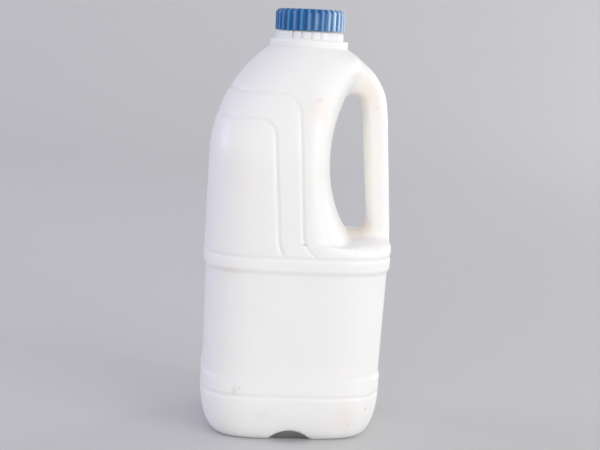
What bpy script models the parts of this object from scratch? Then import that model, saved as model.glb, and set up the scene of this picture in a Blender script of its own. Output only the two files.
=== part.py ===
"""Two-litre milk jug: a blow-moulded white body with a handle, and a ribbed blue screw cap.

The jug stands on z = 0 with its axis on the Z axis. X points to the handle, -Y is the front.
The mould parts on the plane y = 0, so the front and the back are mirror images. The jug is
shut, so its body is a solid out to its outer skin.
"""
import math

import bmesh
import bpy
import numpy as np

MM = 0.001

# Body walls: half widths from the axis, and the heights where the wall changes
BASE_INSET = 11.0 * MM
HEEL_HEIGHT = 29.0 * MM
BAND_HALF = 54.7 * MM
BAND_TOP = 38.4 * MM
LABEL_LOW_HALF = 53.8 * MM
LABEL_HIGH_HALF = 55.0 * MM
LABEL_TOP = 102.4 * MM
WAIST_HALF = 56.4 * MM
STEP_HEIGHT = 3.4 * MM
WALL_POWER = 4.1
RECESS_POWER = 3.2

# Plan of the body: a little less deep than wide, and less deep at the handle than on the left
DEPTH_RATIO = 0.965
PLAN_TAPER = 0.10

# Two moulded grooves run all the way round, above the heel and in the waist
HEEL_GROOVE_Z = 27.7 * MM
WAIST_GROOVE_Z = 110.6 * MM
RING_GROOVE_DEPTH = 0.5 * MM
RING_GROOVE_SPREAD = 1.1 * MM

# Shoulder: one arc on the left and round the front, a tighter one over the handle
SHOULDER_START = 165.2 * MM
SHOULDER_RADIUS = 84.3 * MM
HANDLE_ARC_RADIUS = 48.0 * MM
HANDLE_ARC_CENTRE = (3.5 * MM, 188.2 * MM)
BODY_TOP = 233.5 * MM

# Recess for the hand: the body's right wall is an arc that bulges away from the handle
RECESS_APEX = 15.9 * MM
RECESS_RADIUS = 84.2 * MM
RECESS_CENTRE_Z = 168.3 * MM
SHELF_Z = 119.6 * MM
SHELF_ROUNDING = 3.2 * MM
SHELF_FILLET = 3.0 * MM
SHELF_FALL = 2.4 * MM
SHELF_FALL_SPAN = (12.0 * MM, 24.0 * MM)
RECESS_TOP = 222.3 * MM
RIDGE_ROUNDING = 8.0 * MM

# Handle: a slanted grip between two fans of sections, one round each end of the finger hole. Angles
# are counted from the level direction outwards to the right, upwards for the top and downwards for
# the foot. Towards the body the hole widens, and at the foot the section gets rounder and thicker.
GRIP_OUTER = ((56.5 * MM, 122.0 * MM), (50.6 * MM, 191.0 * MM))
GRIP_INNER = ((42.0 * MM, 131.7 * MM), (35.7 * MM, 194.4 * MM))
GRIP_HALF_THICKNESS = 12.0 * MM
GRIP_POWER = 3.6
HOLE_TOP_CENTRE = (29.6 * MM, 200.1 * MM)
HOLE_TOP_RADIUS = 4.8 * MM
HOLE_FOOT_CENTRE = (36.3 * MM, 128.8 * MM)
HOLE_FOOT_RADIUS = 5.8 * MM
HOLE_TOP_WIDENING = 2.8 * MM
HOLE_FOOT_WIDENING = 4.6 * MM
TOP_FAN_DEGREES = 165.0
FOOT_FAN_DEGREES = 170.0
TOP_REACH = 22.0 * MM
FOOT_REACH = 25.6 * MM
TOP_SINK = 2.5 * MM
TOP_SINK_DEGREES = (74.0, 98.0)
TOP_THICKENING = 2.0 * MM
FOOT_THICKENING = 4.0 * MM
FOOT_POWER = 2.1
TOP_WIDENING_START = 120.0
FOOT_WIDENING_START = 90.0
FOOT_NARROWING = 0.45
TOP_THICKENING_DEGREES = (10.0, 130.0)
FOOT_THICKENING_DEGREES = (20.0, 150.0)
FOOT_SOFTENING_DEGREES = (20.0, 90.0)
TOP_MEETS_GRIP_DEGREES = 60.0
FOOT_MEETS_GRIP_DEGREES = 50.0
FAN_END_DEGREES = 8.0
FAN_SECTIONS = 11
GRIP_SECTIONS = 5

# Panel grooves: two bent lines on the front that run round the left side to the back. Each has the
# x of its lower and its upper end, how far it flares out to the waist, the height of its level run
# and the radius of its bend.
PANEL_GROOVES = (
    {"foot_x": 0.8 * MM, "head_x": -4.8 * MM, "flare": 9.8 * MM, "level_z": 205.6 * MM, "bend": 12.0 * MM},
    {"foot_x": -13.5 * MM, "head_x": -18.7 * MM, "flare": 3.9 * MM, "level_z": 190.6 * MM, "bend": 9.0 * MM},
)
PANEL_FLARE_HEIGHT = 14.0 * MM
PANEL_BEAD_RADIUS = 1.7 * MM
PANEL_GROOVE_DEPTH = 0.8 * MM

# Arch moulded through the base from front to back
ARCH_RADIUS = 15.0 * MM
ARCH_HEIGHT = 6.5 * MM

# Neck: a collar, a band of ratchet teeth and the spigot that carries the cap
COLLAR_RADIUS = 23.6 * MM
COLLAR_BOTTOM = 232.2 * MM
COLLAR_TOP = 236.4 * MM
TEETH_RADIUS = 20.5 * MM
TEETH_TOP = 241.4 * MM
SPIGOT_RADIUS = 17.8 * MM
SPIGOT_TOP = 251.6 * MM
SLOT_WIDTH = 1.5 * MM
SLOT_DEPTH = 1.4 * MM
SLOT_FLOOR = 237.3 * MM
SLOTS_PER_TURN = 22
SLOTS_PER_GROUP = 8
FIRST_SLOT_DEGREES = -31.0

# Cap
CAP_RADIUS = 20.9 * MM
CAP_BOTTOM = 242.0 * MM
CAP_TOP = 254.8 * MM
CAP_BEVEL = 3.6 * MM
CAP_RIBS = 30
CAP_RIB_DEPTH = 0.6 * MM
CAP_DISH_RADIUS = 14.5 * MM
CAP_DISH_DEPTH = 0.5 * MM
CAP_CLEARANCE = 0.4 * MM

# Facets
RING_POINTS_PER_QUARTER = 15
GRIP_RING_POINTS = 20
NECK_POINTS = 66
CAP_POINTS_PER_RIB = 6
BORE_POINTS = 48
BEAD_POINTS = 8


def smoothstep(start, end, value):
    """Rise from 0 at start to 1 at end, level at both."""
    t = min(max((value - start) / (end - start), 0.0), 1.0)
    return t * t * (3.0 - 2.0 * t)


def mix(a, b, t):
    return a + (b - a) * t


def arc_inset(fraction):
    """Inset of a unit quarter circle, from 0 at its tangent to 1 at the end of its rise."""
    return 1.0 - math.sqrt(max(1.0 - fraction * fraction, 0.0))


def rounded_minimum(a, b, rounding):
    """The smaller of two values, eased where they cross."""
    overlap = max(rounding - abs(a - b), 0.0)
    return min(a, b) - overlap * overlap / (4.0 * rounding)


def line_at(line, z):
    """The x of a straight line in the XZ plane at height z."""
    (x0, z0), (x1, z1) = line
    return mix(x0, x1, (z - z0) / (z1 - z0))


# Profiles of the body

def ring_groove(z, centre):
    return RING_GROOVE_DEPTH * math.exp(-((z - centre) / RING_GROOVE_SPREAD) ** 2)


def wall_half(z):
    """Half width of the body where nothing is recessed."""
    if z < HEEL_HEIGHT:
        half = BAND_HALF - BASE_INSET * arc_inset((HEEL_HEIGHT - z) / HEEL_HEIGHT)
    elif z < SHOULDER_START:
        label = mix(LABEL_LOW_HALF, LABEL_HIGH_HALF, (z - BAND_TOP) / (LABEL_TOP - BAND_TOP))
        half = mix(BAND_HALF, label, smoothstep(BAND_TOP - STEP_HEIGHT / 2, BAND_TOP + STEP_HEIGHT / 2, z))
        half = mix(half, WAIST_HALF, smoothstep(LABEL_TOP - STEP_HEIGHT / 2, LABEL_TOP + STEP_HEIGHT / 2, z))
    else:
        rise = z - SHOULDER_START
        half = WAIST_HALF - SHOULDER_RADIUS + math.sqrt(SHOULDER_RADIUS ** 2 - rise * rise)
    return half - ring_groove(z, HEEL_GROOVE_Z) - ring_groove(z, WAIST_GROOVE_Z)


def handle_side_arc(z):
    """Half width of the shoulder above the handle."""
    centre_x, centre_z = HANDLE_ARC_CENTRE
    return centre_x + math.sqrt(HANDLE_ARC_RADIUS ** 2 - max(z - centre_z, 0.0) ** 2)


def recess_wall(z):
    """The body's right wall beside the finger hole."""
    return RECESS_APEX + RECESS_RADIUS - math.sqrt(RECESS_RADIUS ** 2 - (z - RECESS_CENTRE_Z) ** 2)


def right_reach(z):
    """How far the body reaches to the right: waist, shelf, recess, then the shoulder."""
    rounding_start = SHELF_Z - SHELF_ROUNDING
    if z <= rounding_start:
        return wall_half(z)
    if z <= SHELF_Z:
        return wall_half(z) - SHELF_ROUNDING * arc_inset((z - rounding_start) / SHELF_ROUNDING)
    fillet_top = SHELF_Z + SHELF_FILLET
    wall = recess_wall(max(z, fillet_top))
    if z < fillet_top:
        return wall + SHELF_FILLET * arc_inset((fillet_top - z) / SHELF_FILLET)
    return rounded_minimum(wall, handle_side_arc(z), RIDGE_ROUNDING)


def section(z):
    """Left reach, right reach, half depth, and corner power on the left and on the right, at height z."""
    roundness = smoothstep(SHOULDER_START, COLLAR_BOTTOM, z)
    half = wall_half(z)
    depth = half * mix(DEPTH_RATIO, 1.0, roundness)
    recessed = smoothstep(SHELF_Z - SHELF_ROUNDING, SHELF_Z + SHELF_FILLET, z)
    left_power = mix(WALL_POWER, 2.0, roundness)
    right_power = mix(mix(WALL_POWER, RECESS_POWER, recessed), 2.0, roundness)
    return half, right_reach(z), depth, left_power, right_power


def taper(x, z):
    """How the plan's depth changes with x: more than 1 on the left, less at the handle."""
    return 1.0 - PLAN_TAPER * (1.0 - smoothstep(SHOULDER_START, COLLAR_BOTTOM, z)) * x / wall_half(z)


def quarter_curve(reach, depth, power, count):
    """Points of a superellipse quarter from (reach, 0) to (0, depth), evenly spaced."""
    turn = np.linspace(0.0, math.pi / 2, 241)
    curve = np.c_[reach * np.cos(turn) ** (2.0 / power), depth * np.sin(turn) ** (2.0 / power)]
    curve[-1] = (0.0, depth)
    length = np.r_[0.0, np.cumsum(np.hypot(*np.diff(curve, axis=0).T))]
    stops = np.linspace(0.0, length[-1], count + 1)
    return np.c_[np.interp(stops, length, curve[:, 0]), np.interp(stops, length, curve[:, 1])]


def shelf_fall(x, y, z):
    """How far the shelf's crowned surface lies below its middle."""
    below = smoothstep(WAIST_GROOVE_Z + RING_GROOVE_SPREAD, SHELF_Z, z)
    above = smoothstep(SHELF_Z + SHELF_FILLET, SHELF_Z + 6.0 * SHELF_FILLET, z)
    return SHELF_FALL * below * (1.0 - above) * smoothstep(*SHELF_FALL_SPAN, x) * (y / BAND_HALF) ** 2


def body_ring(z):
    """Closed ring of points round the body at height z, anticlockwise from the handle side."""
    left, right, depth, left_power, right_power = section(z)
    right_quarter = quarter_curve(right, depth, right_power, RING_POINTS_PER_QUARTER)
    left_quarter = quarter_curve(left, depth, left_power, RING_POINTS_PER_QUARTER)
    back = [(x, y) for x, y in right_quarter] + [(-x, y) for x, y in left_quarter[-2::-1]]
    front = [(x, -y) for x, y in back[-2:0:-1]]
    return [(x, y * taper(x, z), z - shelf_fall(x, y, z)) for x, y in back + front]


def body_levels():
    """Heights of the body's rings, close together where the wall turns."""
    heel = [HEEL_HEIGHT * (1.0 - math.cos(math.radians(a))) for a in (0, 13, 26, 39, 52, 65)]
    levels = heel + groove_levels(HEEL_GROOVE_Z)
    between = list(np.linspace(BAND_TOP, LABEL_TOP, 5)[1:-1])
    levels += step_levels(BAND_TOP) + between + step_levels(LABEL_TOP)
    levels += groove_levels(WAIST_GROOVE_Z)
    rounding_start = SHELF_Z - SHELF_ROUNDING
    levels += [rounding_start + SHELF_ROUNDING * math.sin(math.radians(a)) for a in (0, 40, 65, 90)]
    levels += [SHELF_Z + SHELF_FILLET * (1.0 - math.cos(math.radians(a))) for a in (12, 45, 90)]
    levels += list(np.linspace(SHELF_Z + SHELF_FILLET, RECESS_TOP - 2.0 * RIDGE_ROUNDING, 15)[1:])
    levels += list(np.linspace(RECESS_TOP - 2.0 * RIDGE_ROUNDING, BODY_TOP, 9)[1:])
    return levels


def groove_levels(centre):
    return [centre + RING_GROOVE_SPREAD * offset for offset in (-1.8, -0.8, 0.0, 0.8, 1.8)]


def step_levels(centre):
    return [centre + STEP_HEIGHT * offset for offset in (-0.5, -0.17, 0.17, 0.5)]


# Handle

def fan_direction(degrees):
    return math.cos(math.radians(degrees)), math.sin(math.radians(degrees))


def reach_to_arc(start, direction):
    """Distance from start along direction to the shoulder's arc over the handle."""
    offset_x = start[0] - HANDLE_ARC_CENTRE[0]
    offset_z = start[1] - HANDLE_ARC_CENTRE[1]
    along = offset_x * direction[0] + offset_z * direction[1]
    return -along + math.sqrt(along ** 2 - offset_x ** 2 - offset_z ** 2 + HANDLE_ARC_RADIUS ** 2)


def reach_to_grip(start, direction):
    """Distance from start along direction to the straight outer line of the grip."""
    (x0, z0), (x1, z1) = GRIP_OUTER
    slope = (x1 - x0) / (z1 - z0)
    return (line_at(GRIP_OUTER, start[1]) - start[0]) / (direction[0] - slope * direction[1])


def top_stations():
    """Sections of the handle round the upper end of the hole, from inside the shoulder outwards."""
    for degrees in np.linspace(TOP_FAN_DEGREES, FAN_END_DEGREES, FAN_SECTIONS):
        direction = fan_direction(degrees)
        widening = smoothstep(TOP_WIDENING_START, TOP_FAN_DEGREES, degrees)
        near = HOLE_TOP_RADIUS + HOLE_TOP_WIDENING * widening
        reach = reach_to_arc(HOLE_TOP_CENTRE, direction)
        if degrees < TOP_MEETS_GRIP_DEGREES:
            reach = min(reach, reach_to_grip(HOLE_TOP_CENTRE, direction))
        reach -= TOP_SINK * smoothstep(*TOP_SINK_DEGREES, degrees)
        reach = mix(reach, TOP_REACH, smoothstep(TOP_SINK_DEGREES[1], TOP_FAN_DEGREES, degrees))
        thickness = GRIP_HALF_THICKNESS + TOP_THICKENING * smoothstep(*TOP_THICKENING_DEGREES, degrees)
        yield HOLE_TOP_CENTRE, direction, near, reach, thickness, GRIP_POWER


def grip_stations():
    """Level sections down the straight part of the handle."""
    for z in np.linspace(GRIP_INNER[1][1], GRIP_INNER[0][1], GRIP_SECTIONS):
        inner = line_at(GRIP_INNER, z)
        yield (inner, z), (1.0, 0.0), 0.0, line_at(GRIP_OUTER, z) - inner, GRIP_HALF_THICKNESS, GRIP_POWER


def foot_stations():
    """Sections round the lower end of the hole, into the shelf and the body's wall."""
    for degrees in np.linspace(FAN_END_DEGREES, FOOT_FAN_DEGREES, FAN_SECTIONS):
        direction = fan_direction(-degrees)
        widening = smoothstep(FOOT_WIDENING_START, FOOT_FAN_DEGREES, degrees)
        near = HOLE_FOOT_RADIUS + HOLE_FOOT_WIDENING * widening
        reach = FOOT_REACH
        if degrees < FOOT_MEETS_GRIP_DEGREES:
            reach = min(reach, reach_to_grip(HOLE_FOOT_CENTRE, direction))
        reach *= 1.0 - FOOT_NARROWING * widening
        thickness = GRIP_HALF_THICKNESS + FOOT_THICKENING * smoothstep(*FOOT_THICKENING_DEGREES, degrees)
        power = mix(GRIP_POWER, FOOT_POWER, smoothstep(*FOOT_SOFTENING_DEGREES, degrees))
        yield HOLE_FOOT_CENTRE, direction, near, reach, thickness, power


def handle_ring(centre, direction, near, far, thickness, power):
    """Rounded section between two distances from a centre, along a direction in the XZ plane."""
    middle = (near + far) / 2
    half = (far - near) / 2
    ring = []
    for k in range(GRIP_RING_POINTS):
        turn = 2.0 * math.pi * k / GRIP_RING_POINTS
        along = middle + half * math.copysign(abs(math.cos(turn)) ** (2.0 / power), math.cos(turn))
        across = thickness * math.copysign(abs(math.sin(turn)) ** (2.0 / power), math.sin(turn))
        ring.append((centre[0] + along * direction[0], across, centre[1] + along * direction[1]))
    return ring


# Panel grooves

def side_of(x, z):
    """Reach, half depth and corner power of the body on the side where x lies."""
    left, right, depth, left_power, right_power = section(z)
    return (right, depth, right_power) if x > 0.0 else (left, depth, left_power)


def front_y(x, z):
    reach, depth, power = side_of(x, z)
    return -depth * taper(x, z) * max(1.0 - abs(x / reach) ** power, 0.0) ** (1.0 / power)


def outward(x, y, z):
    """Unit vector out of the body's wall at a point, from the slope of its section."""
    reach, depth, power = side_of(x, z)
    depth *= taper(x, z)
    slope_x = math.copysign(abs(x / reach) ** (power - 1.0), x) / reach
    slope_y = math.copysign(abs(y / depth) ** (power - 1.0), y) / depth
    rise = 0.5 * MM
    slope_z = -(wall_half(z + rise) - wall_half(z - rise)) / (2.0 * rise) * math.hypot(slope_x, slope_y)
    normal = np.array((slope_x, slope_y, slope_z))
    return normal / np.linalg.norm(normal)


def panel_line(foot_x, head_x, flare, level_z, bend):
    """Points (x, y, z) of one panel groove on the front, from the waist to the left side."""
    flare_top = WAIST_GROOVE_Z + PANEL_FLARE_HEIGHT
    bend_start = level_z - bend
    points = []
    for t in np.linspace(0.0, 1.0, 6)[:-1]:
        points.append((foot_x + flare * (1.0 - t) ** 2, mix(WAIST_GROOVE_Z, flare_top, t)))
    for t in np.linspace(0.0, 1.0, 9):
        points.append((mix(foot_x, head_x, t), mix(flare_top, bend_start, t)))
    for degrees in (22.5, 45.0, 67.5, 90.0):
        across, up = fan_direction(degrees)
        points.append((head_x - bend * (1.0 - across), bend_start + bend * up))
    line = [(x, front_y(x, z), z) for x, z in points]
    left, depth, power = side_of(-1.0, level_z)
    wrap = quarter_curve(left, depth, power, 24)[::-1]
    line += [(-x, -y * taper(-x, level_z), level_z) for x, y in wrap if x > bend - head_x + 2.0 * MM]
    return line


def bead_rings(line):
    """Rings of a round bead along a line on the wall, set proud so that it cuts a shallow groove."""
    line = [np.array(point) for point in line]
    lift = PANEL_BEAD_RADIUS - PANEL_GROOVE_DEPTH
    rings = []
    for k, point in enumerate(line):
        forward = line[min(k + 1, len(line) - 1)] - line[max(k - 1, 0)]
        forward /= np.linalg.norm(forward)
        normal = outward(*point)
        side = np.cross(forward, normal)
        side /= np.linalg.norm(side)
        normal = np.cross(side, forward)
        centre = point + normal * lift
        ring = []
        for m in range(BEAD_POINTS):
            turn = 2.0 * math.pi * (m + 0.5) / BEAD_POINTS
            across = math.cos(turn) * normal + math.sin(turn) * side
            ring.append(tuple(centre + PANEL_BEAD_RADIUS * across))
        rings.append(ring)
    return rings


# Building

def material(name, colour, roughness):
    made = bpy.data.materials.new(name)
    made.use_nodes = True
    shader = made.node_tree.nodes["Principled BSDF"]
    shader.inputs["Base Color"].default_value = (*colour, 1.0)
    shader.inputs["Roughness"].default_value = roughness
    shader.inputs["Metallic"].default_value = 0.0
    made.diffuse_color = (*colour, 1.0)
    return made


def add_object(name, bm):
    """Turn a bmesh into an object whose faces point outwards."""
    bmesh.ops.recalc_face_normals(bm, faces=bm.faces)
    mesh = bpy.data.meshes.new(name)
    bm.to_mesh(mesh)
    bm.free()
    made = bpy.data.objects.new(name, mesh)
    bpy.context.scene.collection.objects.link(made)
    mesh.shade_smooth()
    mesh.set_sharp_from_angle(angle=math.radians(35))
    return made


def loft_into(bm, rings):
    """Skin a row of rings that have the same number of points, and close both ends."""
    rows = [[bm.verts.new(point) for point in ring] for ring in rings]
    count = len(rows[0])
    for lower, upper in zip(rows, rows[1:]):
        for k in range(count):
            after = (k + 1) % count
            bm.faces.new((lower[k], lower[after], upper[after], upper[k]))
    bm.faces.new(rows[0][::-1])
    bm.faces.new(rows[-1])


def loft(name, rings):
    bm = bmesh.new()
    loft_into(bm, rings)
    return add_object(name, bm)


def turned_ring(radius, z, count):
    return [(radius * math.cos(2 * math.pi * k / count), radius * math.sin(2 * math.pi * k / count), z)
            for k in range(count)]


def use_as_tool(made):
    """Keep an object only as a shape for Boolean modifiers."""
    made.hide_render = True
    made.display_type = "WIRE"


def boolean(target, tool, operation):
    use_as_tool(tool)
    modifier = target.modifiers.new(tool.name, "BOOLEAN")
    modifier.operation = operation
    modifier.solver = "EXACT"
    modifier.object = tool


def handle_solid():
    rings = [handle_ring(*station) for stations in (top_stations(), grip_stations(), foot_stations())
             for station in stations]
    return loft("handle_shape", rings)


def neck_solid():
    chamfer = 0.4 * MM
    profile = (
        (COLLAR_RADIUS - 2.0 * MM, COLLAR_BOTTOM - 6.0 * MM),
        (COLLAR_RADIUS, COLLAR_BOTTOM),
        (COLLAR_RADIUS, COLLAR_TOP - chamfer),
        (COLLAR_RADIUS - chamfer, COLLAR_TOP),
        (TEETH_RADIUS, COLLAR_TOP + chamfer),
        (TEETH_RADIUS, TEETH_TOP - chamfer),
        (TEETH_RADIUS - chamfer, TEETH_TOP),
        (SPIGOT_RADIUS, TEETH_TOP),
        (SPIGOT_RADIUS, SPIGOT_TOP - chamfer),
        (SPIGOT_RADIUS - chamfer, SPIGOT_TOP),
    )
    return loft("neck_shape", [turned_ring(radius, z, NECK_POINTS) for radius, z in profile])


def panel_groove_tool(index, groove):
    front = panel_line(**groove)
    back = [(x, -y, z) for x, y, z in front[-2::-1]]
    return loft(f"panel_groove_{index}", bead_rings(front + back))


def arch_tool():
    bm = bmesh.new()
    length = 4.0 * WAIST_HALF
    sizes = {"radius1": ARCH_RADIUS, "radius2": ARCH_RADIUS, "depth": length}
    bmesh.ops.create_cone(bm, cap_ends=True, segments=72, **sizes)
    for vert in bm.verts:
        x, y, z = vert.co
        vert.co = (x, z, y + ARCH_HEIGHT - ARCH_RADIUS)
    return add_object("arch_shape", bm)


def slot_degrees():
    """Angles of the ratchet slots, measured from the front towards the handle: two equal groups."""
    pitch = 360.0 / SLOTS_PER_TURN
    for group in (0.0, 180.0):
        for k in range(SLOTS_PER_GROUP):
            yield FIRST_SLOT_DEGREES + group + k * pitch


def slots_tool():
    bm = bmesh.new()
    for degrees in slot_degrees():
        sine, minus_cosine = math.sin(math.radians(degrees)), -math.cos(math.radians(degrees))
        outline = []
        near, far = TEETH_RADIUS - SLOT_DEPTH, TEETH_RADIUS + SLOT_DEPTH
        for radius, side in ((near, -0.5), (far, -0.5), (far, 0.5), (near, 0.5)):
            shift = side * SLOT_WIDTH
            outline.append((radius * sine - shift * minus_cosine, radius * minus_cosine + shift * sine))
        loft_into(bm, [[(x, y, z) for x, y in outline] for z in (SLOT_FLOOR, TEETH_TOP + SLOT_DEPTH)])
    return add_object("slot_shapes", bm)


def make_jug_body(plastic):
    body = loft("jug_body", [body_ring(z) for z in body_levels()])
    body.data.materials.append(plastic)
    boolean(body, handle_solid(), "UNION")
    boolean(body, neck_solid(), "UNION")
    for index, groove in enumerate(PANEL_GROOVES):
        boolean(body, panel_groove_tool(index, groove), "DIFFERENCE")
    boolean(body, arch_tool(), "DIFFERENCE")
    boolean(body, slots_tool(), "DIFFERENCE")
    return body


def cap_ring(radius, z, rib_depth):
    """Ring of the cap's skirt: narrow ribs with a rounded valley between each two."""
    count = CAP_RIBS * CAP_POINTS_PER_RIB
    ring = []
    for k in range(count):
        phase = 2.0 * math.pi * (k % CAP_POINTS_PER_RIB) / CAP_POINTS_PER_RIB
        ribbed = radius - rib_depth * 0.5 * (1.0 - math.cos(phase))
        turn = 2.0 * math.pi * k / count
        ring.append((ribbed * math.cos(turn), ribbed * math.sin(turn), z))
    return ring


def make_cap(plastic):
    bevel_z = CAP_TOP - 0.8 * CAP_BEVEL
    rings = [
        cap_ring(CAP_RADIUS, CAP_BOTTOM, CAP_RIB_DEPTH),
        cap_ring(CAP_RADIUS, bevel_z, CAP_RIB_DEPTH),
        cap_ring(CAP_RADIUS - 0.35 * CAP_BEVEL, mix(bevel_z, CAP_TOP, 0.6), CAP_RIB_DEPTH),
        cap_ring(CAP_RADIUS - CAP_BEVEL, CAP_TOP, 0.0),
        cap_ring(CAP_DISH_RADIUS + CAP_DISH_DEPTH, CAP_TOP, 0.0),
        cap_ring(CAP_DISH_RADIUS, CAP_TOP - CAP_DISH_DEPTH, 0.0),
    ]
    cap = loft("cap", rings)
    cap.data.materials.append(plastic)
    bore_radius = SPIGOT_RADIUS + CAP_CLEARANCE
    bore_levels = (CAP_BOTTOM - CAP_BEVEL, SPIGOT_TOP + CAP_CLEARANCE)
    bore = loft("bore_shape", [turned_ring(bore_radius, z, BORE_POINTS) for z in bore_levels])
    boolean(cap, bore, "DIFFERENCE")
    return cap


def main():
    for stale in list(bpy.data.objects):
        bpy.data.objects.remove(stale, do_unlink=True)
    make_jug_body(material("white_polythene", (0.83, 0.83, 0.82), 0.42))
    make_cap(material("blue_polypropylene", (0.02, 0.13, 0.42), 0.28))


main()
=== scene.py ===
"""Looks of the two-litre milk jug: a waxy white blow-moulded body with a handle, and a ribbed blue cap.

The jug stands on z = 0 with its axis on the Z axis. X points to the handle, -Y is the front.
The mould parts on the plane y = 0. Sizes are in metres.
"""
import math

import bmesh
import bpy
import numpy as np
from mathutils import Matrix, Vector
from mathutils.kdtree import KDTree

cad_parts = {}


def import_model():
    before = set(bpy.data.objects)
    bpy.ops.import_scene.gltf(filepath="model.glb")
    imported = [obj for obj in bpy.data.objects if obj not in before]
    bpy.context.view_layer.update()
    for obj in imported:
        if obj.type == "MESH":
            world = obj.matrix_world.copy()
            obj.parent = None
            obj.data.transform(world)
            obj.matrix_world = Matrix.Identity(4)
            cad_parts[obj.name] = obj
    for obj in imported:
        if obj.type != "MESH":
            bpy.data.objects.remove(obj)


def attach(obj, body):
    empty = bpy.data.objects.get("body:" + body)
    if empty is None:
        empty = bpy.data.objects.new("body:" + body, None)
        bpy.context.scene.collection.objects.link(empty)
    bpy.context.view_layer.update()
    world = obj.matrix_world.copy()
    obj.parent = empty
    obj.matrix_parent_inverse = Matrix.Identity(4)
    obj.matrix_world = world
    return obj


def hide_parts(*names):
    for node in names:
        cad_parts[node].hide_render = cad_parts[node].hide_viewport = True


MM = 0.001

# Body walls
BASE_INSET = 11.0 * MM
HEEL_HEIGHT = 29.0 * MM
BAND_HALF = 54.7 * MM
BAND_TOP = 38.4 * MM
LABEL_LOW_HALF = 53.8 * MM
LABEL_HIGH_HALF = 55.0 * MM
LABEL_TOP = 102.4 * MM
WAIST_HALF = 56.4 * MM
STEP_HEIGHT = 3.4 * MM
WALL_POWER = 4.1
RECESS_POWER = 3.2
DEPTH_RATIO = 0.965
PLAN_TAPER = 0.10

# Grooves that run round the body
HEEL_GROOVE_Z = 27.7 * MM
WAIST_GROOVE_Z = 110.6 * MM
RING_GROOVE_DEPTH = 0.5 * MM
RING_GROOVE_SPREAD = 1.1 * MM

# Shoulder
SHOULDER_START = 165.2 * MM
SHOULDER_RADIUS = 84.3 * MM
HANDLE_ARC_RADIUS = 48.0 * MM
HANDLE_ARC_CENTRE = (3.5 * MM, 188.2 * MM)
BODY_TOP = 233.5 * MM

# Recess for the hand
RECESS_APEX = 15.9 * MM
RECESS_RADIUS = 84.2 * MM
RECESS_CENTRE_Z = 168.3 * MM
SHELF_Z = 119.6 * MM
SHELF_ROUNDING = 3.2 * MM
SHELF_FILLET = 3.0 * MM
SHELF_FALL = 2.4 * MM
SHELF_FALL_SPAN = (12.0 * MM, 24.0 * MM)
SHELF_FRONT_ROUNDING = 5.0 * MM
SHELF_FRONT_SPAN = (26.0 * MM, 40.0 * MM)
RIDGE_Z = 217.0 * MM
RIDGE_ROUNDING = 8.0 * MM

# Handle: a slanted grip between two fans of sections, one round each end of the finger hole. Angles
# are counted from the level direction outwards to the right, upwards for the top and downwards for
# the foot. Towards the body the hole widens, and at the foot the section gets rounder and thicker.
GRIP_OUTER = ((56.5 * MM, 122.0 * MM), (50.6 * MM, 191.0 * MM))
GRIP_INNER = ((42.0 * MM, 131.7 * MM), (35.7 * MM, 194.4 * MM))
GRIP_HALF_THICKNESS = 12.0 * MM
GRIP_POWER = 3.6
HOLE_TOP_CENTRE = (29.6 * MM, 200.1 * MM)
HOLE_TOP_RADIUS = 4.8 * MM
HOLE_FOOT_CENTRE = (36.3 * MM, 128.8 * MM)
HOLE_FOOT_RADIUS = 5.8 * MM
HOLE_TOP_WIDENING = 2.8 * MM
HOLE_FOOT_WIDENING = 4.6 * MM
TOP_FAN_DEGREES = 165.0
FOOT_FAN_DEGREES = 170.0
TOP_REACH = 22.0 * MM
FOOT_REACH = 25.6 * MM
TOP_SINK = 2.5 * MM
TOP_SINK_DEGREES = (74.0, 98.0)
TOP_THICKENING = 2.0 * MM
FOOT_THICKENING = 4.0 * MM
FOOT_POWER = 2.1
TOP_WIDENING_START = 120.0
FOOT_WIDENING_START = 90.0
FOOT_NARROWING = 0.45
TOP_THICKENING_DEGREES = (10.0, 130.0)
FOOT_THICKENING_DEGREES = (20.0, 150.0)
FOOT_SOFTENING_DEGREES = (20.0, 90.0)
TOP_MEETS_GRIP_DEGREES = 60.0
FOOT_MEETS_GRIP_DEGREES = 50.0
GRIP_MEETING_ROUNDING = 2.0 * MM
FAN_END_DEGREES = 4.0
FAN_STEP_DEGREES = 3.0
GRIP_SECTIONS = 44

# Panel grooves: two bent lines on the front that run round the left side to the back. Each has the
# x of its lower and its upper end, how far it flares out to the waist, the height of its level run
# and the radius of its bend.
PANEL_GROOVES = (
    {"foot_x": 0.8 * MM, "head_x": -4.8 * MM, "flare": 9.8 * MM, "level_z": 205.6 * MM, "bend": 12.0 * MM},
    {"foot_x": -13.5 * MM, "head_x": -18.7 * MM, "flare": 3.9 * MM, "level_z": 190.6 * MM, "bend": 9.0 * MM},
)
PANEL_FLARE_HEIGHT = 14.0 * MM
PANEL_GROOVE_DEPTH = 0.75 * MM
PANEL_GROOVE_SPREAD = 1.0 * MM

# Arch moulded through the base
ARCH_RADIUS = 15.0 * MM
ARCH_HEIGHT = 6.5 * MM
ARCH_SOFTNESS = 0.8 * MM

# Parting line of the two mould halves
SEAM_HEIGHT = 0.15 * MM
SEAM_SPREAD = 0.35 * MM

# Neck
COLLAR_RADIUS = 23.6 * MM
COLLAR_BOTTOM = 232.2 * MM
COLLAR_TOP = 236.4 * MM
TEETH_RADIUS = 20.5 * MM
TEETH_TOP = 241.4 * MM
SPIGOT_RADIUS = 17.8 * MM
SPIGOT_TOP = 251.6 * MM
SLOT_WIDTH = 2.2 * MM
SLOT_DEPTH = 1.3 * MM
SLOT_FLOOR = 237.3 * MM
NECK_SOFTNESS = 0.5 * MM
NECK_SINK = 6.0 * MM
COLLAR_TAPER = 2.0 * MM
SLOTS_PER_TURN = 22
SLOTS_PER_GROUP = 8
FIRST_SLOT_DEGREES = -31.0

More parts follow.
